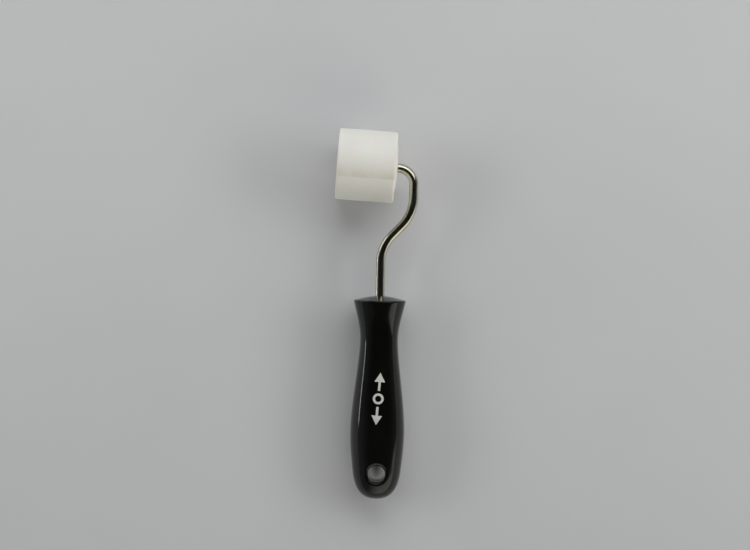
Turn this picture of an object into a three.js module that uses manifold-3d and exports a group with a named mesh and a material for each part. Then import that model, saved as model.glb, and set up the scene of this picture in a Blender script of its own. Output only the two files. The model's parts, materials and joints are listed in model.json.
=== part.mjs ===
// Seam roller: a hand tool that presses down the joints between lengths of wallpaper or flashing.
// A hollow white roller turns on the end of one bent, plated rod, and the rod is moulded into a black handle.
// Millimetres, +Z up. The tool lies on a flat surface, on its roller and on the belly of its handle,
// with +Y running from the butt of the handle towards the roller.

import * as THREE from "three";
import { mergeVertices } from "three/addons/utils/BufferGeometryUtils.js";
import Module from "manifold-3d";

const wasm = await Module();
wasm.setup();

// ---- Driving dimensions ----

const OVERALL_LENGTH = 199.5; // far side of the roller to the butt of the handle
const FIT_GAP = 0.15; // room between neighbouring pieces that touch on the real tool
const RUNNING_GAP = 0.1; // radial room between the axle and the hubs that turn on it
const MOULD_GAP = 0.3; // room between the rod and the handle moulded round it

const ROLLER_RADIUS = 19.25;
const ROLLER_LENGTH = 31.6;
const ROLLER_EDGE = 1.5; // radius of the rounded ends of the rolling face
const BARREL_BORE = 15; // bore radius between the two caps
const CAP_SEAT = 16; // bore radius where a cap is pressed in
const CAP_DEPTH = 7; // how far each cap goes in

const CAP_RING = 1.6; // wall of the ring that grips the barrel
const CAP_WEB = 2.2;
const CAP_SINK = 0.3; // how far a cap's ring stops short of the end of the barrel
const HUB_RADIUS = 5;
const HUB_LENGTH = 9.5; // bearing length on the axle, from the web inwards
const DOME_RISE = 1.2; // how far the inner cap's face bulges past the end of the barrel
const BOSS = { radius: 6.2, height: 1.2 }; // raised seat for the washer on the outer cap
const RIB_COUNT = 6;
const RIB_THICKNESS = 1.4;
const RIB_HEIGHT = 2;

const ROD_RADIUS = 2.5;
const HUB_BORE = ROD_RADIUS + RUNNING_GAP;
const AXLE_TIP = 15.5; // roller centre to the free end of the axle
const AXLE_TILT = 3.25; // degrees by which the axle leans from square with the handle
const BEND_START = 17.4; // roller centre to the first bend
const CROOK_BEND = { radius: 8.8, turn: 90 - AXLE_TILT }; // clockwise turns are positive
const CROOK_LENGTH = 7; // straight length after the crook
const RETURN_BEND = { radius: 22.6, turn: 43.5 };
const RETURN_LENGTH = 7.5; // straight length between the two lower bends
const NECK_BEND = { radius: 20.8, turn: -RETURN_BEND.turn };
const ROD_IN_HANDLE = 48;
const EAR = { width: 9, length: 14, thickness: 1.6, fromEnd: 3 }; // swaged flats that key the rod in the handle

const HANDLE_LENGTH = 110;
// Knots of the handle's outline: radius, height above the butt, lean of the outline from the axis
// in degrees, and how far the curve holds that lean before and after the knot.
const HANDLE_KNOTS = [
  { radius: 0, at: 0, lean: 90, before: 0, after: 8.5 }, // butt
  { radius: 13.1, at: 16, lean: 6, before: 10.5, after: 6.5 }, // shoulder of the butt
  { radius: 14.6, at: 36, lean: 0, before: 7.5, after: 16 }, // belly
  { radius: 10.15, at: 86.5, lean: 0, before: 12.5, after: 7 }, // neck
  { radius: 14, at: 106.9, lean: 13, before: 7.9, after: 0.6 }, // rim
  { radius: 13.1, at: 107.9, lean: -77, before: 0.6, after: 4.2 }, // inner edge of the rim
  { radius: 0, at: HANDLE_LENGTH, lean: -90, before: 6, after: 0 }, // crown of the domed top
];
// The hanging hole's place above the butt, the height off its middle where its mouths start to open,
// and how softly they do.
const HANG_HOLE = { radius: 4.7, at: 14.3, mouth: 11.1, flare: 1.7 };

const WASHER = { outer: 5.4, bore: 2.7, thickness: 0.8 };
const NUT = { outer: 5.2, sheet: 0.5, cone: 1.1, coneRadius: 4, bore: 2.65, prongs: 6, slot: 0.9 };

const ROUND_STEPS = 60; // facets round the roller
const HANDLE_STEPS = 48;
const ROD_STEPS = 20;
const SMALL_STEPS = 32;
const OUTLINE_STEPS = 5; // points along each curve of the handle's outline
const EDGE_STEPS = 3; // points along each curve of a smaller profile
const BEND_STEP = 6; // degrees of bend between two rings of the rod

// ---- Materials ----

const whitePlastic = new THREE.MeshStandardMaterial({ color: 0xe4e3dc, roughness: 0.38, metalness: 0 });
const blackPlastic = new THREE.MeshStandardMaterial({ color: 0x0b0c0b, roughness: 0.16, metalness: 0 });
const platedSteel = new THREE.MeshStandardMaterial({ color: 0xc4bfae, roughness: 0.18, metalness: 1 });
const springSteel = new THREE.MeshStandardMaterial({ color: 0x8d8c88, roughness: 0.35, metalness: 1 });

// ---- Solids ----

function toSolid(geometry) {
  const bare = geometry.clone().deleteAttribute("normal").deleteAttribute("uv");
  const merged = mergeVertices(bare, 1e-4);
  return new wasm.Manifold(
    new wasm.Mesh({
      numProp: 3,
      vertProperties: merged.attributes.position.array,
      triVerts: new Uint32Array(merged.index.array),
    }),
  );
}

function toGeometry(solid) {
  const mesh = solid.getMesh();
  const geometry = new THREE.BufferGeometry();
  geometry.setAttribute("position", new THREE.BufferAttribute(new Float32Array(mesh.vertProperties), 3));
  geometry.setIndex(new THREE.BufferAttribute(new Uint32Array(mesh.triVerts), 1));
  geometry.computeVertexNormals();
  return geometry;
}

// A solid of revolution about Y. A path that never meets the axis is closed into a ring.
function turned(path, steps, curveSteps = EDGE_STEPS) {
  const points = path.getPoints(curveSteps);
  const first = points[0];
  if (first.x > 0) points.push(first.clone());
  return new THREE.LatheGeometry(points, steps);
}

// A straight-sided profile as a closed path: corners are [radius, height] pairs.
function cornered(corners) {
  const path = new THREE.Path();
  path.setFromPoints(corners.map(([radius, height]) => new THREE.Vector2(radius, height)));
  return path;
}

// A box standing on the face y = bottom, turned about Y, as a solid.
function spoke(length, height, width, centre, bottom, angle) {
  const box = new THREE.BoxGeometry(length, height, width);
  box.translate(centre, bottom + height / 2, 0);
  box.rotateY(angle);
  return toSolid(box);
}

function named(name, geometry, material) {
  const mesh = new THREE.Mesh(geometry, material);
  mesh.name = name;
  return mesh;
}

// ---- Roller: heights run along the axle, positive towards the rod's first bend ----

const END = ROLLER_LENGTH / 2;
const SEAT = END - CAP_DEPTH; // shoulder that a cap stops against
const CAP_RADIUS = CAP_SEAT - FIT_GAP;
const CAP_INNER = CAP_RADIUS - CAP_RING;

function rollerBarrel() {
  const path = new THREE.Path()
    .moveTo(CAP_SEAT, -END)
    .lineTo(ROLLER_RADIUS - ROLLER_EDGE, -END)
    .absarc(ROLLER_RADIUS - ROLLER_EDGE, -END + ROLLER_EDGE, ROLLER_EDGE, -Math.PI / 2, 0, false)
    .absarc(ROLLER_RADIUS - ROLLER_EDGE, END - ROLLER_EDGE, ROLLER_EDGE, 0, Math.PI / 2, false)
    .lineTo(CAP_SEAT, END)
    .lineTo(CAP_SEAT, SEAT)
    .lineTo(BARREL_BORE, SEAT)
    .lineTo(BARREL_BORE, -SEAT)
    .lineTo(CAP_SEAT, -SEAT);
  return named("roller_barrel", turned(path, ROUND_STEPS), whitePlastic);
}

// The cap on the rod's side: a closed, slightly domed face with a hub behind it.
function rollerInnerCap() {
  const seat = SEAT + FIT_GAP;
  const rim = END - CAP_SINK;
  const crown = END + DOME_RISE;
  const webBack = rim - CAP_WEB;
  const path = new THREE.Path()
    .moveTo(CAP_RADIUS, seat)
    .lineTo(CAP_RADIUS, rim)
    .quadraticCurveTo(CAP_RADIUS / 2, crown, HUB_BORE, crown)
    .lineTo(HUB_BORE, webBack - HUB_LENGTH)
    .lineTo(HUB_RADIUS, webBack - HUB_LENGTH)
    .lineTo(HUB_RADIUS, webBack)
    .lineTo(CAP_INNER, webBack)
    .lineTo(CAP_INNER, seat);
  return named("roller_inner_cap", turned(path, ROUND_STEPS), whitePlastic);
}

// The cap on the far side: an open cup with six ribs and a boss that carries the washer.
const OUTER_WEB = SEAT + FIT_GAP + CAP_WEB;
const OUTER_BOSS = OUTER_WEB + BOSS.height;

function rollerOuterCap() {
  const seat = SEAT + FIT_GAP;
  const rim = END - CAP_SINK;
  const path = cornered([
    [CAP_RADIUS, -rim],
    [CAP_RADIUS, -seat],
    [HUB_RADIUS, -seat],
    [HUB_RADIUS, -seat + HUB_LENGTH],
    [HUB_BORE, -seat + HUB_LENGTH],
    [HUB_BORE, -OUTER_BOSS],
    [BOSS.radius, -OUTER_BOSS],
    [BOSS.radius, -OUTER_WEB],
    [CAP_INNER, -OUTER_WEB],
    [CAP_INNER, -rim],
  ]);
  let cap = toSolid(turned(path, ROUND_STEPS));
  const bite = 0.4; // how far a rib runs into the pieces it joins
  const span = CAP_INNER - BOSS.radius + 2 * bite;
  for (let i = 0; i < RIB_COUNT; i++) {
    const angle = (i * 2 * Math.PI) / RIB_COUNT;
    const foot = -OUTER_WEB - RIB_HEIGHT;
    const rib = spoke(span, RIB_HEIGHT + bite, RIB_THICKNESS, (CAP_INNER + BOSS.radius) / 2, foot, angle);
    cap = cap.add(rib);
  }
  return named("roller_outer_cap", toGeometry(cap), whitePlastic);
}

// ---- What keeps the roller on the axle ----

const WASHER_FACE = OUTER_BOSS + FIT_GAP;
const NUT_FACE = WASHER_FACE + WASHER.thickness + FIT_GAP;

function axleWasher() {
  const path = cornered([
    [WASHER.bore, -WASHER_FACE],
    [WASHER.bore, -WASHER_FACE - WASHER.thickness],
    [WASHER.outer, -WASHER_FACE - WASHER.thickness],
    [WASHER.outer, -WASHER_FACE],
  ]);
  return named("axle_washer", turned(path, SMALL_STEPS), springSteel);
}

// A push-on fastener: a flat rim and a cone slit into prongs that bite the axle.
function pushNut() {
  const tip = NUT_FACE + NUT.cone;
  const path = cornered([
    [NUT.coneRadius, -NUT_FACE],
    [NUT.bore, -tip],
    [NUT.bore, -tip - NUT.sheet],
    [NUT.coneRadius, -NUT_FACE - NUT.sheet],
    [NUT.outer, -NUT_FACE - NUT.sheet],
    [NUT.outer, -NUT_FACE],
  ]);
  let nut = toSolid(turned(path, SMALL_STEPS));
  const past = NUT.sheet; // how far each slit's cutter runs past the sheet
  const depth = NUT.cone + NUT.sheet + 2 * past;
  for (let i = 0; i < NUT.prongs; i++) {
    const angle = ((i + 0.5) * 2 * Math.PI) / NUT.prongs;
    const foot = -tip - NUT.sheet - past;
    nut = nut.subtract(spoke(NUT.coneRadius, depth, NUT.slot, NUT.coneRadius / 2, foot, angle));
  }
  return named("push_nut", toGeometry(nut), springSteel);
}

// ---- Rod: one wire, bent in the tool's own plane ----

const BUTT_Y = ROLLER_RADIUS - OVERALL_LENGTH;
const HANDLE_TOP_Y = BUTT_Y + HANDLE_LENGTH;

// Rings along the rod, each with its point and its direction, from the axle's free end into the handle.
function rodStations() {
  let heading = THREE.MathUtils.degToRad(-AXLE_TILT);
  const direction = () => new THREE.Vector3(Math.cos(heading), Math.sin(heading), 0);
  let point = direction().multiplyScalar(-AXLE_TIP);
  const stations = [{ point: point.clone(), direction: direction() }];
  const goStraight = (length) => {
    point = point.clone().addScaledVector(direction(), length);
    stations.push({ point, direction: direction() });
  };
  const goRound = ({ radius, turn }) => {
    const steps = Math.ceil(Math.abs(turn) / BEND_STEP);
    const step = THREE.MathUtils.degToRad(turn) / steps;
    const chord = 2 * radius * Math.sin(Math.abs(step) / 2);
    for (let i = 0; i < steps; i++) {
      heading -= step / 2;
      point = point.clone().addScaledVector(direction(), chord);
      heading -= step / 2;
      stations.push({ point, direction: direction() });
    }
  };
  goStraight(AXLE_TIP + BEND_START);
  goRound(CROOK_BEND);
  goStraight(CROOK_LENGTH);
  goRound(RETURN_BEND);
  goStraight(RETURN_LENGTH);
  goRound(NECK_BEND);
  goStraight(point.y - (HANDLE_TOP_Y - ROD_IN_HANDLE));
  return stations;
}

// A curve whose even steps fall on the stations, so that straight lengths take no extra rings.
class StationCurve extends THREE.Curve {
  constructor(stations) {
    super();
    this.stations = stations;
  }
  at(t) {
    return this.stations[Math.round(t * (this.stations.length - 1))];
  }
  getUtoTmapping(u) {
    return u;
  }
  getPoint(t) {
    return this.at(t).point.clone();
  }
  getTangent(t) {
    return this.at(t).direction.clone();
  }
}

const stations = rodStations();
const HANDLE_X = stations.at(-1).point.x;
const ROD_END_Y = stations.at(-1).point.y;
const EAR_Y = ROD_END_Y + EAR.fromEnd + EAR.length / 2;

function bentRod() {
  const section = new THREE.Shape().absarc(0, 0, ROD_RADIUS, 0, 2 * Math.PI, false);
  const wire = new THREE.ExtrudeGeometry(section, {
    steps: stations.length - 1,
    curveSegments: ROD_STEPS / 2,
    extrudePath: new StationCurve(stations),
  });
  const ears = new THREE.BoxGeometry(EAR.width, EAR.length, EAR.thickness);
  ears.translate(HANDLE_X, EAR_Y, 0);
  return named("bent_rod", toGeometry(toSolid(wire).add(toSolid(ears))), platedSteel);
}

// ---- Handle: heights run from the butt towards the roller ----

function handleOutline() {
  const along = ({ lean }) => {
    const angle = THREE.MathUtils.degToRad(lean);
    return new THREE.Vector2(Math.sin(angle), Math.cos(angle));
  };
  const knot = ({ radius, at }) => new THREE.Vector2(radius, at);
  const path = new THREE.Path();
  path.moveTo(HANDLE_KNOTS[0].radius, HANDLE_KNOTS[0].at);
  for (let i = 1; i < HANDLE_KNOTS.length; i++) {
    const from = HANDLE_KNOTS[i - 1];
    const to = HANDLE_KNOTS[i];
    const leave = knot(from).addScaledVector(along(from), from.after);
    const arrive = knot(to).addScaledVector(along(to), -to.before);
    path.bezierCurveTo(leave.x, leave.y, arrive.x, arrive.y, to.radius, to.at);
  }
  return path;
}

// A cutter for the hanging hole, straight in the middle and flaring out past the handle on both sides.
function hangHoleCutter() {
  const { radius, mouth, flare } = HANG_HOLE;
  const lip = { radius: radius + 2 * flare, height: mouth + 2 * flare };
  const path = new THREE.Path()
    .moveTo(0, -lip.height)
    .lineTo(lip.radius, -lip.height)
    .quadraticCurveTo(radius, -mouth, radius, -mouth + flare)
    .lineTo(radius, mouth - flare)
    .quadraticCurveTo(radius, mouth, lip.radius, lip.height)
    .lineTo(0, lip.height);
  const cutter = turned(path, SMALL_STEPS);
  cutter.rotateX(Math.PI / 2);
  cutter.translate(0, HANG_HOLE.at, 0);
  return toSolid(cutter);
}

function grip() {
  const socketBottom = ROD_END_Y - BUTT_Y - MOULD_GAP;
  const socketTop = HANDLE_LENGTH + ROD_RADIUS; // the cutter runs out past the crown
  const socketLength = socketTop - socketBottom;
  const socketRadius = ROD_RADIUS + MOULD_GAP;
  const socket = new THREE.CylinderGeometry(socketRadius, socketRadius, socketLength, ROD_STEPS);
  socket.translate(0, socketBottom + socketLength / 2, 0);
  const pocket = new THREE.BoxGeometry(
    EAR.width + 2 * MOULD_GAP,
    EAR.length + 2 * MOULD_GAP,
    EAR.thickness + 2 * MOULD_GAP,
  );
  pocket.translate(0, EAR_Y - BUTT_Y, 0);
  const body = toSolid(turned(handleOutline(), HANDLE_STEPS, OUTLINE_STEPS));
  const cut = body.subtract(toSolid(socket)).subtract(toSolid(pocket)).subtract(hangHoleCutter());
  const mesh = named("handle", toGeometry(cut), blackPlastic);
  mesh.position.set(HANDLE_X, BUTT_Y, 0);
  return mesh;
}

// ---- Assembly ----

const axle = new THREE.Vector3(...stations[0].direction.toArray());

const onAxle = new THREE.Group();
onAxle.quaternion.setFromUnitVectors(new THREE.Vector3(0, 1, 0), axle);
onAxle.add(rollerBarrel(), rollerInnerCap(), rollerOuterCap(), axleWasher(), pushNut());

// Resting on a flat surface, the tool tips about its axle until the handle's belly meets that surface.
function restPitch() {
  const contact = handleOutline()
    .getPoints(OUTLINE_STEPS)
    .map(({ x: radius, y: height }) => {
      const reach = Math.abs(BUTT_Y + height);
      return Math.asin(ROLLER_RADIUS / Math.hypot(reach, radius)) - Math.atan2(radius, reach);
    });
  return Math.min(...contact);
}

const tool = new THREE.Group();
tool.add(onAxle, bentRod(), grip());
tool.quaternion.setFromAxisAngle(axle, restPitch());

// The part's origin is under the middle of the tool's footprint, on the surface that it lies on.
const box = new THREE.Box3().setFromObject(tool, true);
const centre = box.getCenter(new THREE.Vector3());
tool.position.set(-centre.x, -centre.y, -box.min.z);

const seamRoller = new THREE.Group();
seamRoller.add(tool);

export default seamRoller;
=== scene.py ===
# Looks for the seam roller: a white roller on a bent, plated rod set in a glossy black handle.
#
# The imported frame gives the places. Every piece is built in millimetres in one of three frames of its own:
# the tool's (origin at the roller's centre, +Y up the tool, +Z square to the plane the rod is bent in),
# the axle's (the same origin, +Y along the axle towards the rod's first bend) and the handle's
# (origin at the butt, +Y up the handle, +Z through the hanging hole).

import json
import math

import bmesh
import bpy
import numpy as np
from mathutils import Matrix, Vector


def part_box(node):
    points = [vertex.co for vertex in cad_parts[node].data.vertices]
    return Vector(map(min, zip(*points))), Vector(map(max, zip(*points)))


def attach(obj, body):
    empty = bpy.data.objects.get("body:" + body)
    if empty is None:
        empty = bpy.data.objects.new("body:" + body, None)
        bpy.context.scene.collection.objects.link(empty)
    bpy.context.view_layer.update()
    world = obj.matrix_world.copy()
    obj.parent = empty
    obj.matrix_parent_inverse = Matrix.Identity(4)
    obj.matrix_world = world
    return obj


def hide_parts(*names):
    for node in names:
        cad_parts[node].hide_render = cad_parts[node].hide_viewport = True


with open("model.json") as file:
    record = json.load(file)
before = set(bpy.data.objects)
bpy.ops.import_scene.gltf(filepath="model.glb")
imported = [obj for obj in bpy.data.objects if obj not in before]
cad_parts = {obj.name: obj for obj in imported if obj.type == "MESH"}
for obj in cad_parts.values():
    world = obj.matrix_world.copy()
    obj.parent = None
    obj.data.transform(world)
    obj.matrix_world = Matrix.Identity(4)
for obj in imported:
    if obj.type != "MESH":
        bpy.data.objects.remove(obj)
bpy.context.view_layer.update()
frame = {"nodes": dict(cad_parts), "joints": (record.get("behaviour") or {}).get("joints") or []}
scene = bpy.context.scene
spin = frame["joints"][0]

MM = 0.001

# ---- Driving dimensions, in millimetres ----

OVERALL_LENGTH = 199.5
FIT_GAP = 0.08  # what shows between pieces that are pressed together
RUNNING_GAP = 0.1  # between the axle and the hubs
END_PLAY = 0.15  # on each side of the washer
INSET = 0.01  # keeps the roller's and the butt's fine surface inside the CAD model's box

ROLLER_RADIUS = 19.25
BARREL_LOW, BARREL_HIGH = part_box("roller_barrel")
SEEN_RADIUS = (BARREL_HIGH.z - BARREL_LOW.z) / 2 / MM - INSET
ROLLER_LENGTH = 31.6
ROLLER_EDGE = 2  # rounding of the two rims
CAP_SEAT = 16  # radius of the recess that each cap is pressed into
CAP_DEPTH = 7  # of that recess
BARREL_BORE = 15
CAP_RING = 1.6  # thickness of a cap's wall
CAP_WEB = 2.2  # thickness of its face
CAP_SINK = 0.3  # from the barrel's end to the cap's rim
CAP_FILLET = 0.3
WALL_FILLET = 0.5  # between the outer cap's floor and its wall
HUB_RADIUS = 5
HUB_LENGTH = 9.5
BORE_EDGE = 0.4  # the rounded edge of the bore in the inner cap's face
DOME_RISE = 1.05
BOSS_RADIUS = 6.2
BOSS_HEIGHT = 1.2
RIB_COUNT = 6
RIB_HEIGHT = 2

ROD_RADIUS = 2.5
ROD_CHAMFER = 0.45
HUB_BORE = ROD_RADIUS + RUNNING_GAP
AXLE_TIP = 15.5  # from the roller's middle to the rod's free end
BEND_START = 17.4  # from the roller's middle to the crook
CROOK_RADIUS = 8.8
CROOK_LENGTH = 7  # of the straight after the crook
RETURN_RADIUS = 22.6
RETURN_TURN = 43.5  # degrees
RETURN_LENGTH = 7.5  # of the straight after the return bend
NECK_RADIUS = 20.8
ROD_IN_HANDLE = 48

HANDLE_LENGTH = 110
SOCKET_GAP = 0.04  # what shows between the rod and the handle
SOCKET_RADIUS = ROD_RADIUS + SOCKET_GAP
SOCKET_EDGE = 0.3  # the rounded edge of the socket's mouth
SOCKET_SINK = 0.02  # from the handle's top to the mouth
SOCKET_BOTTOM = HANDLE_LENGTH - ROD_IN_HANDLE  # height above the butt
# Radius, height above the butt, lean of the outline from the axis in degrees, and how far the curve
# holds that lean before and after the knot.
HANDLE_KNOTS = [
    (0, INSET, 90, 0, 8.5),
    (13.1, 16, 6, 10.5, 6.5),
    (14.6, 36, 0, 7.5, 16),
    (10.15, 86.5, 0, 12.5, 7),
    (14, 106.9, 13, 7.9, 0.6),
    (13.1, 107.9, -77, 0.6, 4.2),
    (0, 110, -90, 6, 0),
]
HOLE_RADIUS = 4.7
HOLE_AT = 14.3  # height of its middle above the butt
HOLE_LIP = 2.0  # width of the rounded mouth
HOLE_DROP = 2.2  # how far the rounding runs down into the hole
BARREL_SEAMS = (math.radians(20), math.radians(200))  # round the axle, from straight up
BARREL_SPREAD = math.radians(1)  # half the width of a ridge
RIDGE = 0.05  # height of the fine ridge that a mould's parting line leaves

WASHER = {"outer": 5.4, "bore": 2.7, "thickness": 0.8, "edge": 0.1}
NUT = {
    "outer": 5.2,
    "edge": 0.25,  # width of the outermost ring of faces
    "bevel": 0.06,
    "sheet": 0.5,
    "cone": 1.1,  # height of the prongs' cone
    "cone_radius": 4,
    "bore": 2.62,
    "prongs": 6,
    "slot": 0.9,
}


# ---- Frames ----

def tool_frame():
    """The rod's vertices lie evenly about the plane that it is bent in. The tool's Z is square to it."""
    points = np.array([vertex.co for vertex in frame["nodes"]["bent_rod"].data.vertices])
    normal = Vector(np.linalg.svd(points - points.mean(0), full_matrices=False)[2][2])
    if normal.z < 0:
        normal.negate()
    across = Vector((1, 0, 0))
    across = (across - normal * across.dot(normal)).normalized()
    rotation = Matrix((across, normal.cross(across), normal)).transposed().to_4x4()
    return Matrix.Translation(spin["pos_m"]) @ rotation


TOOL = tool_frame()
axle_in_tool = TOOL.to_3x3().inverted() @ Vector(spin["axis"])
AXLE_TILT = math.degrees(math.atan2(-axle_in_tool.y, axle_in_tool.x))
AXLE = TOOL @ Matrix.Rotation(-math.radians(90 + AXLE_TILT), 4, "Z")
BUTT_Y = ROLLER_RADIUS - OVERALL_LENGTH
ROD_END_Y = BUTT_Y + SOCKET_BOTTOM


ROD_STEP = 4  # the longest step between two of the rod's stations
ROD_STEP_TURN = 2  # degrees, the most that one step turns


def rod_stations():
    """Points along the rod with their headings and their distance from the axle's tip."""
    heading = math.radians(-AXLE_TILT)
    point = Vector((math.cos(heading), math.sin(heading))) * -AXLE_TIP
    along = 0
    stations = [(point.copy(), heading, along)]

    def go(length, turn_degrees=0):
        nonlocal heading, point, along
        steps = max(2, math.ceil(abs(turn_degrees) / ROD_STEP_TURN), math.ceil(length / ROD_STEP))
        step_turn = math.radians(turn_degrees) / steps
        arc = length / steps
        chord = arc if step_turn == 0 else 2 * arc / abs(step_turn) * math.sin(abs(step_turn) / 2)
        for _ in range(steps):
            heading -= step_turn / 2
            point = point + Vector((math.cos(heading), math.sin(heading))) * chord
            heading -= step_turn / 2
            along += arc
            stations.append((point.copy(), heading, along))

    def bend(radius, degrees):
        go(radius * math.radians(abs(degrees)), degrees)

    go(AXLE_TIP + BEND_START)
    bend(CROOK_RADIUS, 90 - AXLE_TILT)
    go(CROOK_LENGTH)
    bend(RETURN_RADIUS, RETURN_TURN)
    go(RETURN_LENGTH)
    bend(NECK_RADIUS, -RETURN_TURN)
    go(point.y - ROD_END_Y)
    return stations


STATIONS = rod_stations()
HANDLE_X = STATIONS[-1][0].x
HANDLE = TOOL @ Matrix.Translation((HANDLE_X * MM, BUTT_Y * MM, 0))


# ---- Camera: straight down on the tool, turned a little so that the tool leans in the picture ----

LEAN = 1.15  # degrees
VIEW_WIDTH = 0.405  # metres across the picture at the tool's own height
VIEW_MIDDLE = 0.0211  # metres from the middle of the tool's footprint towards the roller
LENS = 135
SENSOR = 36


def add_camera():
    camera = bpy.data.objects.new("camera", bpy.data.cameras.new("camera"))
    scene.collection.objects.link(camera)
    camera.data.lens = LENS
    camera.data.sensor_width = SENSOR
    camera.data.clip_start = 0.01
    middle = Vector((0, VIEW_MIDDLE, TOOL.translation.z))
    camera.location = middle + Vector((0, 0, VIEW_WIDTH * LENS / SENSOR))
    camera.rotation_euler = (0, 0, math.radians(LEAN))
    scene.camera = camera


add_camera()


# ---- Mesh helpers ----

ON_AXIS = 1e-6  # a radius under this is on the axis
SAME = 0.001  # radii closer than this are the same
JOINED = 1e-7  # points closer than this, in metres, are joined
EDGE_SHARE = 0.45  # the most of a side that one rounded corner takes up


def make_piece(name, points, faces, place, material, body, replaces):
    """One smooth-shaded mesh, its points in millimetres in the frame called place."""
    mesh = bpy.data.meshes.new(name)
    mesh.from_pydata([(x * MM, y * MM, z * MM) for x, y, z in points], [], faces)
    return finish_piece(mesh, name, place, material, body, replaces)


def finish_piece(mesh, name, place, material, body, replaces):
    """Like a CAD node, a piece has its place in its mesh, and its object stays at the origin."""
    mesh.transform(place)
    mesh.update()
    mesh.shade_smooth()
    mesh.materials.append(material)
    piece = bpy.data.objects.new(name, mesh)
    scene.collection.objects.link(piece)
    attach(piece, body)
    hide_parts(replaces)
    return piece


def bezier(start, leave, arrive, end, steps):
    """Points on a cubic curve, without its first."""
    corners = (start, leave, arrive, end)
    out = []
    for i in range(1, steps + 1):
        t = i / steps
        weights = ((1 - t) ** 3, 3 * t * (1 - t) ** 2, 3 * t * t * (1 - t), t ** 3)
        out.append(tuple(sum(w * corner[k] for w, corner in zip(weights, corners)) for k in (0, 1)))
    return out


def skin(rings):
    """Faces between each closed ring of points and the next. A ring may be one point repeated."""
    faces = []
    for lower, upper in zip(rings, rings[1:]):
        for j in range(len(lower)):
            k = (j + 1) % len(lower)
            corners = (lower[j], lower[k], upper[k], upper[j])
            faces.append(tuple(dict.fromkeys(corners)))
    return faces


def turn(profile, angles):
    """Points and faces of an outline of (radius, height) pairs turned about Y.

    An outline whose ends are on the axis makes a solid; any other is closed on itself into a ring."""
    points = []
    rings = []
    for radius, height in profile:
        if radius < ON_AXIS:
            rings.append([len(points)] * len(angles))
            points.append((0, height, 0))
            continue
        rings.append(list(range(len(points), len(points) + len(angles))))
        points.extend((radius * math.sin(a), height, radius * math.cos(a)) for a in angles)
    if profile[0][0] > ON_AXIS:
        rings.append(rings[0])
    return points, skin(rings)


def even_angles(count):
    return [2 * math.pi * i / count for i in range(count)]


def seamed_angles(count, seams, spread):
    """Even angles, with three more close on each side of every parting line."""
    angles = set(even_angles(count))
    for seam in seams:
        angles.update((seam + spread * k / 3) % (2 * math.pi) for k in range(-3, 4))
    return sorted(angles)


def ridge_at(angle, seams, spread):
    """Height of the fine ridge at an angle near a parting line, and nothing elsewhere."""
    nearest = min(abs(math.remainder(angle - seam, 2 * math.pi)) for seam in seams)
    return RIDGE * 0.5 * (1 + math.cos(math.pi * min(nearest / spread, 1)))


# ---- Material helpers ----

def add_node(tree, kind, inputs=None, **settings):
    """A shader node whose inputs are plain values or other nodes' sockets."""
    node = tree.nodes.new("ShaderNode" + kind)
    for key, value in settings.items():
        setattr(node, key, value)
    for key, value in (inputs or {}).items():
        if isinstance(value, bpy.types.NodeSocket):
            tree.links.new(value, node.inputs[key])
        else:
            node.inputs[key].default_value = value
    return node


def maths(tree, operation, first, second=0.0):
    return add_node(tree, "Math", {0: first, 1: second}, operation=operation).outputs[0]


def from_origin(tree, first, second):
    """How far a point of a plane is from the origin, by its two coordinates."""
    squares = (maths(tree, "POWER", first, 2.0), maths(tree, "POWER", second, 2.0))
    return maths(tree, "SQRT", maths(tree, "ADD", *squares))


def spread_out(tree, value, low, high, to_low, to_high):
    """Maps low..high to to_low..to_high, smoothly at the ends."""
    inputs = {"Value": value, "From Min": low, "From Max": high, "To Min": to_low, "To Max": to_high}
    return add_node(tree, "MapRange", inputs, interpolation_type="SMOOTHSTEP").outputs["Result"]


def noise(tree, place, scale, detail=3.0, stretch=(1, 1, 1)):
    """Noise of about scale bumps to the metre along each axis, times stretch."""
    size = tuple(scale * s for s in stretch)
    scaled = add_node(tree, "Mapping", {"Vector": place, "Scale": size}).outputs["Vector"]
    return add_node(tree, "TexNoise", {"Vector": scaled, "Scale": 1.0, "Detail": detail}).outputs["Fac"]


def mix_colours(tree, factor, first, second):
    node = add_node(tree, "Mix", {"Factor": factor}, data_type="RGBA")
    for socket, value in ((node.inputs[6], first), (node.inputs[7], second)):
        if isinstance(value, bpy.types.NodeSocket):
            tree.links.new(value, socket)
        else:
            socket.default_value = (*value, 1)
    return node.outputs[2]


def bump(tree, height, distance, normal=None):
    """Relief of so many metres over the height's range."""
    inputs = {"Height": height, "Distance": distance, "Strength": 1.0}
    if normal:
        inputs["Normal"] = normal
    return add_node(tree, "Bump", inputs).outputs["Normal"]


def start_material(name, own_frame):
    """A new material, its tree and shader, and each point's place in one of the three frames, in metres."""
    material = bpy.data.materials.new(name)
    material.use_nodes = True
    tree = material.node_tree
    shader = tree.nodes["Principled BSDF"]
    place = add_node(tree, "Mapping", {
        "Vector": add_node(tree, "TexCoord").outputs["Object"],
        "Location": tuple(own_frame.translation),
        "Rotation": tuple(own_frame.to_euler()),
    }, vector_type="TEXTURE").outputs["Vector"]
    return material, tree, shader, place


def connect(tree, shader, **sockets):
    for key, value in sockets.items():
        tree.links.new(value, shader.inputs[key.replace("_", " ")])


# ---- Materials ----

# How far the painted reflection band reaches from the parting line, how sharply it ends there, and how
# strong it is.
PAINTED_BAND_SPREAD = 0.42  # radians from the parting line to where the stain has faded
PAINTED_BAND_EDGE = 0.012  # radians over which it ends at the parting line
PAINTED_BAND_STRENGTH = 0.95


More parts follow.
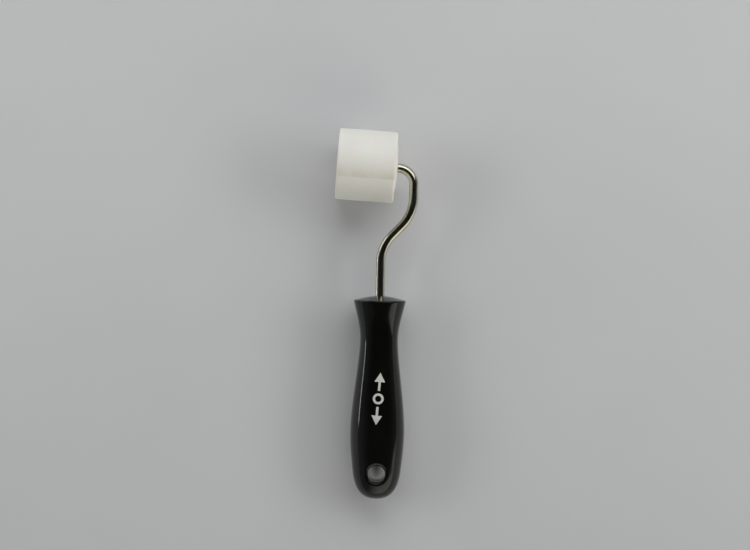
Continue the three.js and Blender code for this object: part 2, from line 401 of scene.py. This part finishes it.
def painted_seam_reflection(tree, place):
    """A patchy painted reflection on the running surface, darker and warmer, that ends sharply at one
    parting line. 0 where there is none.
    """
    axes = add_node(tree, "SeparateXYZ", {"Vector": place}).outputs
    past = maths(tree, "SUBTRACT", BARREL_SEAMS[0], maths(tree, "ARCTAN2", axes["X"], axes["Z"]))
    beside = maths(tree, "MULTIPLY",
                   spread_out(tree, past, -PAINTED_BAND_EDGE, 0.0, 0.0, 1.0),
                   spread_out(tree, past, 0.0, PAINTED_BAND_SPREAD, 1.0, 0.0))
    patches = spread_out(tree, noise(tree, place, 95, 3), 0.3, 0.65, 0.35, 1.0)
    painted_band = maths(tree, "MULTIPLY", beside, patches)
    outside = maths(tree, "GREATER_THAN", from_origin(tree, axes["X"], axes["Z"]), (SEEN_RADIUS - 1) * MM)
    return maths(tree, "MULTIPLY", maths(tree, "MULTIPLY", painted_band, outside), PAINTED_BAND_STRENGTH)


def white_plastic():
    """Off-white moulding, a little milky, with faint marks round it where it has run, and a painted
    reflection: a darker, warmer band beside one parting line.
    """
    material, tree, shader, place = start_material("white_plastic", AXLE)
    shader.inputs["Subsurface Weight"].default_value = 0.35
    shader.inputs["Subsurface Scale"].default_value = 0.003
    shader.inputs["Specular IOR Level"].default_value = 0.45
    cloud = noise(tree, place, 60, 4)
    flow = noise(tree, place, 40, 3, (3, 14, 3))
    tone = spread_out(tree, cloud, 0.3, 0.7, 0.0, 1.0)
    colour = mix_colours(tree, tone, (0.775, 0.770, 0.718), (0.805, 0.800, 0.752))
    scuffs = spread_out(tree, noise(tree, place, 12, 6, (1, 160, 1)), 0.56, 0.74, 0.0, 1.0)
    patches = spread_out(tree, noise(tree, place, 130, 2), 0.45, 0.65, 0.0, 1.0)
    marks = maths(tree, "MULTIPLY", scuffs, patches)
    colour = mix_colours(tree, maths(tree, "MULTIPLY", marks, 0.22), colour, (0.58, 0.575, 0.53))
    # Painted reflection: a darker, warmer band that ends at one parting line.
    colour = mix_colours(tree, painted_seam_reflection(tree, place), colour, (0.66, 0.64, 0.55))
    rough = spread_out(tree, flow, 0.35, 0.65, 0.43, 0.52)
    rough = maths(tree, "ADD", rough, maths(tree, "MULTIPLY", marks, 0.12))
    grain = noise(tree, place, 2200, 2)
    relief = bump(tree, grain, 0.000004, bump(tree, flow, 0.00003))
    connect(tree, shader, Base_Color=colour, Roughness=rough, Normal=relief)
    return material


# The mark's place on the handle, and its sizes outwards from its middle.
MARK = {
    "at": (0.2, 55.2, 0),
    "lean": 4,  # degrees
    "edge": 0.05,  # half the width over which the ink fades out
    "stroke": 1.25,
    "ring": 2.3,  # radius to the middle of the stroke
    "shaft_from": 4.3,
    "head_from": 9,
    "head_to": 14,
    "head_width": 5.8,
}


def print_mark(tree, place):
    """A printed sign for rolling to and fro: a ring, with an arrow up and an arrow down. 1 inside it."""
    back = tuple(-MM * v for v in MARK["at"])
    at = add_node(tree, "Mapping", {"Vector": place, "Location": back}).outputs["Vector"]
    lean = math.radians(MARK["lean"])
    turned = add_node(tree, "VectorRotate", {"Vector": at, "Angle": lean}, rotation_type="Z_AXIS")
    axes = add_node(tree, "SeparateXYZ", {"Vector": turned.outputs["Vector"]}).outputs
    across = maths(tree, "ABSOLUTE", axes["X"])
    along = maths(tree, "ABSOLUTE", axes["Y"])
    soft = MARK["edge"] * MM
    half_stroke = MARK["stroke"] / 2 * MM

    def inside(outwards):
        return spread_out(tree, outwards, -soft, soft, 1.0, 0.0)

    ring = maths(tree, "SUBTRACT", from_origin(tree, across, along), MARK["ring"] * MM)
    ring = maths(tree, "SUBTRACT", maths(tree, "ABSOLUTE", ring), half_stroke)
    middle = (MARK["shaft_from"] + MARK["head_from"]) / 2 * MM
    half_shaft = (MARK["head_from"] - MARK["shaft_from"]) / 2 * MM
    from_middle = maths(tree, "ABSOLUTE", maths(tree, "SUBTRACT", along, middle))
    shaft = maths(tree, "MAXIMUM",
                  maths(tree, "SUBTRACT", across, half_stroke),
                  maths(tree, "SUBTRACT", from_middle, half_shaft))
    slope = MARK["head_width"] / 2 / (MARK["head_to"] - MARK["head_from"])
    side = maths(tree, "MULTIPLY", maths(tree, "SUBTRACT", MARK["head_to"] * MM, along), slope)
    head = maths(tree, "MAXIMUM",
                 maths(tree, "SUBTRACT", across, side),
                 maths(tree, "SUBTRACT", MARK["head_from"] * MM, along))
    shape = maths(tree, "MAXIMUM", inside(ring), maths(tree, "MAXIMUM", inside(shaft), inside(head)))
    front = maths(tree, "GREATER_THAN", add_node(tree, "SeparateXYZ", {"Vector": place}).outputs["Z"], 0.0)
    return maths(tree, "MULTIPLY", shape, front)


def black_plastic():
    """Glossy black moulding with a faint swell in it, fine hairlines, and the mark printed in white."""
    material, tree, shader, place = start_material("black_plastic", HANDLE)
    shader.inputs["Specular IOR Level"].default_value = 0.4
    mark = print_mark(tree, place)
    wear = spread_out(tree, noise(tree, place, 900, 3), 0.3, 0.42, 0.0, 1.0)
    ink = maths(tree, "MULTIPLY", mark, maths(tree, "ADD", maths(tree, "MULTIPLY", wear, 0.15), 0.85))
    tone = spread_out(tree, noise(tree, place, 45, 3), 0.3, 0.7, 0.0, 1.0)
    colour = mix_colours(tree, tone, (0.0028, 0.0031, 0.0026), (0.0042, 0.0046, 0.0038))
    colour = mix_colours(tree, ink, colour, (0.56, 0.57, 0.53))
    hairs = spread_out(tree, noise(tree, place, 260, 4, (6, 0.35, 6)), 0.63, 0.72, 0.0, 1.0)
    smudge = spread_out(tree, noise(tree, place, 95, 5), 0.42, 0.72, 0.08, 0.15)
    rough = maths(tree, "ADD", smudge, maths(tree, "MULTIPLY", hairs, 0.08))
    rough = maths(tree, "ADD", rough, maths(tree, "MULTIPLY", ink, 0.22))
    relief = bump(tree, noise(tree, place, 85, 2), 0.00004)
    relief = bump(tree, noise(tree, place, 1500, 2), 0.0000012, relief)
    relief = bump(tree, ink, 0.000015, relief)
    connect(tree, shader, Base_Color=colour, Roughness=rough, Normal=relief)
    return material


def plated_steel():
    """Bright, slightly warm plate over drawn wire: fine lines run along it.

    The wire attribute counts metres along the rod, and rod radii across it."""
    material, tree, shader, _ = start_material("plated_steel", TOOL)
    shader.inputs["Metallic"].default_value = 1.0
    wire = add_node(tree, "Attribute", attribute_name="wire").outputs["Vector"]
    lines = noise(tree, wire, 1, 4, (22, 9, 9))
    fine = noise(tree, wire, 1, 3, (60, 34, 34))
    cloud = noise(tree, wire, 1, 3, (150, 1.5, 1.5))
    tone = spread_out(tree, cloud, 0.35, 0.65, 0.0, 1.0)
    colour = mix_colours(tree, tone, (0.55, 0.525, 0.415), (0.63, 0.605, 0.50))
    rough = maths(tree, "ADD",
                  spread_out(tree, lines, 0.3, 0.7, 0.13, 0.20),
                  spread_out(tree, cloud, 0.4, 0.75, 0.0, 0.07))
    relief = bump(tree, fine, 0.0000025, bump(tree, lines, 0.000007))
    connect(tree, shader, Base_Color=colour, Roughness=rough, Normal=relief)
    return material


def spring_steel():
    """Plain pressed sheet, with turning marks round it."""
    material, tree, shader, place = start_material("spring_steel", AXLE)
    shader.inputs["Metallic"].default_value = 1.0
    axes = add_node(tree, "SeparateXYZ", {"Vector": place}).outputs
    radius = from_origin(tree, axes["X"], axes["Z"])
    rings = add_node(tree, "TexNoise", {"W": maths(tree, "MULTIPLY", radius, 9000.0), "Scale": 1.0},
                     noise_dimensions="1D").outputs["Fac"]
    cloud = noise(tree, place, 420, 4)
    tone = spread_out(tree, cloud, 0.35, 0.7, 0.0, 1.0)
    colour = mix_colours(tree, tone, (0.40, 0.385, 0.36), (0.56, 0.55, 0.53))
    rough = spread_out(tree, cloud, 0.3, 0.7, 0.26, 0.42)
    connect(tree, shader, Base_Color=colour, Roughness=rough, Normal=bump(tree, rings, 0.000006))
    return material


def floor_finish():
    """Plain pale board, very slightly uneven in tone."""
    material, tree, shader, place = start_material("pale_floor", Matrix())
    tone = spread_out(tree, noise(tree, place, 6, 4), 0.3, 0.7, 0.0, 1.0)
    colour = mix_colours(tree, tone, (0.570, 0.580, 0.590), (0.590, 0.600, 0.610))
    rough = spread_out(tree, noise(tree, place, 400, 2), 0.3, 0.7, 0.62, 0.72)
    connect(tree, shader, Base_Color=colour, Roughness=rough)
    return material


WHITE = white_plastic()
BLACK = black_plastic()
PLATED = plated_steel()
SPRING = spring_steel()


# ---- Roller: heights run along the axle, positive towards the rod's first bend ----

END = ROLLER_LENGTH / 2
SEAT = END - CAP_DEPTH
CAP_RADIUS = CAP_SEAT - FIT_GAP
CAP_INNER = CAP_RADIUS - CAP_RING
RIM = END - CAP_SINK
SMALL_EDGE = 0.2


def soft_profile(corners):
    """A closed outline of (radius, height, rounding) corners."""
    out = []
    for i, (radius, height, rounding) in enumerate(corners):
        here = Vector((radius, height))
        before = Vector(corners[i - 1][:2]) - here
        after = Vector(corners[(i + 1) % len(corners)][:2]) - here
        reach = min(rounding, before.length * EDGE_SHARE, after.length * EDGE_SHARE)
        first = here + before.normalized() * reach
        last = here + after.normalized() * reach
        steps = 10 if rounding > 1 else 4
        for k in range(steps + 1):
            t = k / steps
            point = first * (1 - t) ** 2 + here * 2 * t * (1 - t) + last * t * t
            out.append((point.x, point.y))
    return out


def roller_barrel():
    """A tube with rounded rims, a recess in each end for a cap, and the mould's two parting lines."""
    reach = END - INSET
    profile = soft_profile([
        (CAP_SEAT, -reach, SMALL_EDGE),
        (SEEN_RADIUS, -reach, ROLLER_EDGE),
        (SEEN_RADIUS, reach, ROLLER_EDGE),
        (CAP_SEAT, reach, SMALL_EDGE),
        (CAP_SEAT, SEAT, SMALL_EDGE),
        (BARREL_BORE, SEAT, SMALL_EDGE),
        (BARREL_BORE, -SEAT, SMALL_EDGE),
        (CAP_SEAT, -SEAT, SMALL_EDGE),
    ])
    points, faces = turn(profile, seamed_angles(180, BARREL_SEAMS, BARREL_SPREAD))
    raised = []
    for x, y, z in points:
        radius = math.hypot(x, z)
        stretch = 1
        if radius > SEEN_RADIUS - SAME:
            stretch += ridge_at(math.atan2(x, z), BARREL_SEAMS, BARREL_SPREAD) / radius
        raised.append((x * stretch, y, z * stretch))
    make_piece("roller_barrel_shell", raised, faces, AXLE, WHITE,
               "roller", "roller_barrel")


def roller_inner_cap():
    """A closed face that swells gently from its rim, with a hub behind it."""
    crown = END + DOME_RISE
    back = RIM - CAP_WEB
    face_edge = (CAP_RADIUS - CAP_FILLET, RIM)
    shoulder = (CAP_RADIUS * 0.8, RIM + DOME_RISE * 2 / 3)
    brow = (HUB_RADIUS * 1.5, crown)
    dome = bezier(face_edge, shoulder, brow, (HUB_BORE + BORE_EDGE, crown), 20)
    bore_edge = [(HUB_BORE + BORE_EDGE * 0.3, crown - BORE_EDGE / 4), (HUB_BORE, crown - BORE_EDGE)]
    corners = soft_profile([
        (HUB_BORE, back - HUB_LENGTH, SMALL_EDGE),
        (HUB_RADIUS, back - HUB_LENGTH, SMALL_EDGE),
        (HUB_RADIUS, back, SMALL_EDGE),
        (CAP_INNER, back, SMALL_EDGE),
        (CAP_INNER, SEAT + FIT_GAP, SMALL_EDGE),
        (CAP_RADIUS, SEAT + FIT_GAP, SMALL_EDGE),
        (CAP_RADIUS, RIM, CAP_FILLET),
    ])
    profile = corners[:-1] + [face_edge] + dome + bore_edge
    points, faces = turn(profile, even_angles(144))
    make_piece("roller_inner_cap_face", points, faces, AXLE, WHITE,
               "roller", "roller_inner_cap")


OUTER_WEB = SEAT + FIT_GAP + CAP_WEB
OUTER_BOSS = OUTER_WEB + BOSS_HEIGHT
RIB_WIDTHS = (0, 0.3, 0.52, 0.6, 0.65, 0.7, 0.75, 0.8, 1)  # from a rib's middle, in millimetres
RIB_TOP = 0.58  # half the width of a rib's flat top
RIB_FOOT = 0.8  # half the width of its foot
BAYS = 7  # columns of faces between one rib and the middle of the bay beside it


def rib_columns(radius):
    """Angle and distance from the nearest rib of each column of the outer cap at one radius."""
    radius = min(max(radius, BOSS_RADIUS), CAP_INNER)
    half_sector = math.pi / RIB_COUNT
    near = [(math.asin(w / radius), w) for w in RIB_WIDTHS]
    last = near[-1][0]
    far = [(last + (half_sector - last) * k / BAYS, RIB_FOOT) for k in range(1, BAYS + 1)]
    half = near + far
    out = []
    for i in range(RIB_COUNT):
        middle = 2 * half_sector * i
        out += [(middle - angle, w) for angle, w in reversed(half[1:-1])]
        out += [(middle + angle, w) for angle, w in half]
    return out


def roller_outer_cap():
    """An open cup with ribs from its boss to its wall."""
    back = -SEAT - FIT_GAP
    profile = soft_profile([
        (CAP_RADIUS, -RIM, SMALL_EDGE),
        (CAP_RADIUS, back, SMALL_EDGE),
        (HUB_RADIUS, back, SMALL_EDGE),
        (HUB_RADIUS, back + HUB_LENGTH, SMALL_EDGE),
        (HUB_BORE, back + HUB_LENGTH, SMALL_EDGE),
        (HUB_BORE, -OUTER_BOSS, SMALL_EDGE),
        (BOSS_RADIUS, -OUTER_BOSS, SMALL_EDGE),
        (BOSS_RADIUS, -OUTER_WEB, CAP_FILLET),
        (CAP_INNER, -OUTER_WEB, WALL_FILLET),
        (CAP_INNER, -RIM, SMALL_EDGE),
    ])
    points = []
    rings = []
    for radius, height in profile:
        between = BOSS_RADIUS + SAME < radius < CAP_INNER + SAME
        ribbed = between and height < -SEAT - CAP_WEB / 2
        columns = rib_columns(radius)
        rings.append(list(range(len(points), len(points) + len(columns))))
        for angle, width in columns:
            level = height
            if ribbed:
                slope = min(max((RIB_FOOT - width) / (RIB_FOOT - RIB_TOP), 0), 1)
                level = min(height, -OUTER_WEB - RIB_HEIGHT * slope * slope * (3 - 2 * slope))
            points.append((radius * math.sin(angle), level, radius * math.cos(angle)))
    rings.append(rings[0])
    make_piece("roller_outer_cap_cup", points, skin(rings), AXLE, WHITE,
               "roller", "roller_outer_cap")


# ---- What keeps the roller on the axle ----

WASHER_FACE = OUTER_BOSS + END_PLAY
WASHER_BACK = WASHER_FACE + WASHER["thickness"]
NUT_FACE = WASHER_BACK + END_PLAY


def axle_washer():
    """A flat ring, its outer edge on the far side more rounded than the others."""
    edge = WASHER["edge"]
    profile = soft_profile([
        (WASHER["bore"], -WASHER_FACE, edge),
        (WASHER["bore"], -WASHER_BACK, edge),
        (WASHER["outer"], -WASHER_BACK, 2 * edge),
        (WASHER["outer"], -WASHER_FACE, edge),
    ])
    points, faces = turn(profile, even_angles(96))
    make_piece("axle_washer_ring", points, faces, AXLE, SPRING,
               "frame", "axle_washer")


def push_nut():
    """A flat rim and a ring of sprung prongs that lean out towards the axle's end: a thickened sheet."""
    outer = NUT["outer"]
    cone = NUT["cone_radius"]
    prongs = NUT["prongs"]
    steps = 5
    across = 8
    rim_radii = [outer, outer - NUT["edge"], (outer + cone) / 2, cone]
    prong_radii = [cone + (NUT["bore"] - cone) * k / steps for k in range(1, steps + 1)]
    points = []
    rings = []
    for radius in rim_radii + prong_radii:
        rise = NUT["cone"] * max(cone - radius, 0) / (cone - NUT["bore"])
        height = -NUT_FACE - NUT["sheet"] / 2 - rise
        edge = math.asin(NUT["slot"] / 2 / radius)
        width = 2 * math.pi / prongs - 2 * edge
        ring = []
        for i in range(prongs):
            for k in range(across + 1):
                angle = 2 * math.pi * i / prongs + edge + width * k / across
                ring.append(len(points))
                points.append((radius * math.sin(angle), height, radius * math.cos(angle)))
        rings.append(ring)
    faces = []
    count = len(rings[0])
    for row, (outside, inside) in enumerate(zip(rings, rings[1:])):
        for j in range(count):
            across_slot = j % (across + 1) == across
            if across_slot and row >= len(rim_radii) - 1:
                continue
            k = (j + 1) % count
            faces.append((outside[j], outside[k], inside[k], inside[j]))
    piece = make_piece("push_nut_star", points, faces, AXLE, SPRING,
                       "frame", "push_nut")
    thicken = piece.modifiers.new("sheet", "SOLIDIFY")
    thicken.thickness = NUT["sheet"] * MM
    thicken.offset = 0
    edges = piece.modifiers.new("edges", "BEVEL")
    edges.width = NUT["bevel"] * MM
    edges.segments = 2
    edges.limit_method = "ANGLE"


# ---- Rod ----

def bent_rod():
    """One round wire, its free end chamfered. Its wire attribute runs along it and round it."""
    around = 48
    chamfer_steps = 3
    tip, heading, _ = STATIONS[0]
    direction = Vector((math.cos(heading), math.sin(heading)))
    sections = []
    for k in range(chamfer_steps + 1):
        depth = ROD_CHAMFER * k / chamfer_steps
        narrower = ROD_CHAMFER * (1 - k / chamfer_steps) ** 1.4
        sections.append((tip + direction * depth, heading, depth, ROD_RADIUS - narrower))
    sections += [(*station, ROD_RADIUS) for station in STATIONS[1:]]
    points = []
    wire = []
    rings = []
    for centre, heading, along, radius in sections:
        normal = Vector((-math.sin(heading), math.cos(heading)))
        rings.append(list(range(len(points), len(points) + around)))
        for angle in even_angles(around):
            side = radius * math.cos(angle)
            lift = radius * math.sin(angle)
            points.append((centre.x + normal.x * side, centre.y + normal.y * side, lift))
            wire.append((along * MM, side / ROD_RADIUS, lift / ROD_RADIUS))
    faces = skin(rings)
    faces.append(tuple(reversed(rings[0])))
    faces.append(tuple(rings[-1]))
    piece = make_piece("bent_rod_wire", points, faces, TOOL, PLATED,
                       "frame", "bent_rod")
    layer = piece.data.attributes.new("wire", "FLOAT_VECTOR", "POINT")
    layer.data.foreach_set("vector", [value for entry in wire for value in entry])


# ---- Handle: heights run from the butt towards the roller ----

OUTLINE_STEP = 0.75


def handle_outline():
    """(radius, height) from the butt over the belly, neck and rim to the socket's mouth."""
    out = [HANDLE_KNOTS[0][:2]]
    for start, end in zip(HANDLE_KNOTS, HANDLE_KNOTS[1:]):
        lean_out = math.radians(start[2])
        lean_in = math.radians(end[2])
        leave = (start[0] + math.sin(lean_out) * start[4], start[1] + math.cos(lean_out) * start[4])
        arrive = (end[0] - math.sin(lean_in) * end[3], end[1] - math.cos(lean_in) * end[3])
        length = math.hypot(end[0] - start[0], end[1] - start[1])
        out += bezier(start[:2], leave, arrive, end[:2], max(10, round(length / OUTLINE_STEP)))
    return out


OUTLINE = handle_outline()
PATCH_HALF_HEIGHT = 8.4  # of the patch round the hanging hole
PATCH_HALF_ANGLE = 42  # degrees, of the same patch
HANDLE_SEAM_SPREAD = 1.2  # degrees
COLUMN_STEP = 3  # degrees between the columns of points round the handle


def radius_at(height):
    return float(np.interp(height, [h for _, h in OUTLINE], [r for r, _ in OUTLINE]))


def front_at(x, height):
    """How far the handle's front stands off its middle plane at a point of that plane."""
    return math.sqrt(max(radius_at(height) ** 2 - x * x, 0))


def front_angles():
    """Degrees round the handle's front half, closer together beside the parting lines at its two sides."""
    even = range(-90 + 2 * COLUMN_STEP, 91 - 2 * COLUMN_STEP, COLUMN_STEP)
    sides = [90 - HANDLE_SEAM_SPREAD * k / 3 for k in range(4)]
    return sorted([-a for a in sides] + list(even) + sides)


def handle_front():
    """Points and faces of the handle's front half, with its half of the hanging hole."""
    profile = [p for p in OUTLINE if p[0] > SOCKET_RADIUS + SOCKET_EDGE or p[1] < HANDLE_LENGTH / 2]
    mouth = HANDLE_LENGTH - SOCKET_SINK
    profile.append((SOCKET_RADIUS + SOCKET_EDGE * 0.6, mouth))
    profile.append((SOCKET_RADIUS + SOCKET_EDGE / 6, mouth - SOCKET_EDGE / 3))
    profile.append((SOCKET_RADIUS, mouth - SOCKET_EDGE))
    profile += [(SOCKET_RADIUS, SOCKET_BOTTOM), (0, SOCKET_BOTTOM)]
    angles = front_angles()
    rows = [i for i, (_, height) in enumerate(profile) if abs(height - HOLE_AT) < PATCH_HALF_HEIGHT]
    rows = [i for i in rows if profile[i][0] > HOLE_RADIUS]
    low, high = rows[0], rows[-1]
    columns = [j for j, a in enumerate(angles) if abs(a) <= PATCH_HALF_ANGLE]
    left, right = columns[0], columns[-1]
    points = []
    index = {}
    for i, (radius, height) in enumerate(profile):
        pole = radius < ON_AXIS
        ridged = radius > SOCKET_RADIUS + 1  # not in the socket, nor at the middle of the butt
        for j, degrees in enumerate(angles):
            if low < i < high and left < j < right:
                continue
            if pole and j > 0:
                index[i, j] = index[i, 0]
                continue
            angle = math.radians(degrees)
            swell = radius
            if ridged:
                swell += ridge_at(abs(angle), (math.pi / 2,), math.radians(HANDLE_SEAM_SPREAD))
            index[i, j] = len(points)
            z = 0 if abs(degrees) == 90 else swell * math.cos(angle)
            points.append((swell * math.sin(angle), height, z))
    faces = []
    for i in range(len(profile) - 1):
        for j in range(len(angles) - 1):
            if low <= i < high and left <= j < right:
                continue
            corners = (index[i, j], index[i, j + 1], index[i + 1, j + 1], index[i + 1, j])
            faces.append(tuple(dict.fromkeys(corners)))
    loop = [index[low, j] for j in range(left, right)]
    loop += [index[i, right] for i in range(low, high)]
    loop += [index[high, j] for j in range(right, left, -1)]
    loop += [index[i, left] for i in range(high, low, -1)]
    add_hole(points, faces, loop)
    return points, faces


def add_hole(points, faces, loop):
    """Rings of points from the patch's edge in to the hole's rounded mouth and down to the middle plane."""
    reach = 6
    curl = 8
    wall = 5
    nudge = 0.05
    mouth = HOLE_RADIUS + HOLE_LIP
    starts = []
    curls = []
    for vertex in loop:
        x, height, _ = points[vertex]
        bearing = math.atan2(height - HOLE_AT, x)
        across = math.cos(bearing)
        up = math.sin(bearing)
        starts.append((x, height, across, up))
        edge = front_at(mouth * across, HOLE_AT + mouth * up)
        beyond = front_at((mouth + nudge) * across, HOLE_AT + (mouth + nudge) * up)
        corner = edge + (edge - beyond) / nudge * HOLE_LIP
        curls.append((edge, corner, corner - HOLE_DROP))
    rings = [loop]

    def add_ring(ring):
        rings.append(list(range(len(points), len(points) + len(ring))))
        points.extend(ring)

    for k in range(1, reach + 1):
        t = k / reach
        ring = []
        for x, height, across, up in starts:
            nearer_x = x + (mouth * across - x) * t
            nearer_height = height + (HOLE_AT + mouth * up - height) * t
            ring.append((nearer_x, nearer_height, front_at(nearer_x, nearer_height)))
        add_ring(ring)
    for k in range(1, curl + 1):
        t = k / curl
        radius = mouth * (1 - t) ** 2 + HOLE_RADIUS * (2 * t * (1 - t) + t * t)
        ring = []
        for (_, _, across, up), (edge, corner, inner) in zip(starts, curls):
            z = edge * (1 - t) ** 2 + corner * 2 * t * (1 - t) + inner * t * t
            ring.append((radius * across, HOLE_AT + radius * up, z))
        add_ring(ring)
    for k in range(1, wall + 1):
        ring = []
        for (_, _, across, up), (_, _, inner) in zip(starts, curls):
            ring.append((HOLE_RADIUS * across, HOLE_AT + HOLE_RADIUS * up, inner * (1 - k / wall)))
        add_ring(ring)
    faces += skin(rings)


def handle():
    """The front half and its mirror image, joined along the mould's parting plane."""
    points, faces = handle_front()
    mesh = bpy.data.meshes.new("handle_grip")
    mesh.from_pydata([(x * MM, y * MM, z * MM) for x, y, z in points], [], faces)
    work = bmesh.new()
    work.from_mesh(mesh)
    bmesh.ops.mirror(work, geom=work.verts[:] + work.edges[:] + work.faces[:], axis="Z", merge_dist=JOINED)
    bmesh.ops.remove_doubles(work, verts=work.verts, dist=JOINED)
    bmesh.ops.recalc_face_normals(work, faces=work.faces)
    work.to_mesh(mesh)
    work.free()
    finish_piece(mesh, "handle_grip", HANDLE, BLACK, "frame", "handle")


roller_barrel()
roller_inner_cap()
roller_outer_cap()
axle_washer()
push_nut()
bent_rod()
handle()


# ---- Floor and light ----

def add_floor():
    size = 4
    mesh = bpy.data.meshes.new("floor")
    corners = [(-size, -size, 0), (size, -size, 0), (size, size, 0), (-size, size, 0)]
    mesh.from_pydata(corners, [], [(0, 1, 2, 3)])
    mesh.materials.append(floor_finish())
    floor = bpy.data.objects.new("floor", mesh)
    scene.collection.objects.link(floor)


LIGHT_AIM = Vector((0, 0, 0.02))


def add_light(name, place, size, power, mirrored=True):
    """A rectangular light that faces the tool, its first side level. Gloss shows it only if mirrored."""
    light = bpy.data.lights.new(name, "AREA")
    light.shape = "RECTANGLE"
    light.size, light.size_y = size
    light.energy = power
    lamp = bpy.data.objects.new(name, light)
    scene.collection.objects.link(lamp)
    lamp.location = place
    lamp.rotation_euler = (LIGHT_AIM - Vector(place)).to_track_quat("-Z", "Y").to_euler()
    lamp.visible_glossy = mirrored


def add_world():
    """A dim studio, dark overhead. The wall towards the butt is light up to a slanting edge, and darker
    on the left."""
    world = bpy.data.worlds.new("studio")
    world.use_nodes = True
    tree = world.node_tree
    direction = add_node(tree, "TexCoord").outputs["Generated"]

    def along(axis):
        product = add_node(tree, "VectorMath", {0: direction, 1: axis}, operation="DOT_PRODUCT")
        return product.outputs["Value"]

    below = spread_out(tree, along((-0.07, -0.79, -0.61)), -0.02, 0.09, 0.0, 1.0)
    side = spread_out(tree, along((1, 0, 0)), -0.7, 0.3, 0.02, 1.15)
    wall = maths(tree, "MULTIPLY", below, side)
    room = spread_out(tree, along((0.17, 0, 0.985)), 0.0, 0.8, 0.15, 0.008)
    colour = mix_colours(tree, wall, (0.97, 0.98, 1), (1, 0.98, 0.87))
    back = tree.nodes["Background"]
    tree.links.new(colour, back.inputs["Color"])
    tree.links.new(maths(tree, "ADD", wall, room), back.inputs["Strength"])
    scene.world = world


add_floor()
add_world()
add_light("key", (0.41, 1.13, 0.95), (2.4, 1.1), 13.9)
add_light("left_window", (-0.98, 0.69, 0.27), (0.85, 0.45), 1.9)
add_light("left_strip", (-1.35, 0.11, 0.05), (0.37, 0.05), 0.65)
add_light("far_fill", (0, 1.05, 1.3), (1.6, 0.6), 3, mirrored=False)
add_light("right_fill", (1.25, 0.15, 0.72), (0.9, 0.4), 6, mirrored=False)
add_light("left_fill", (-1.25, 0.15, 0.72), (0.9, 0.4), 5, mirrored=False)

scene.view_settings.view_transform = "Standard"
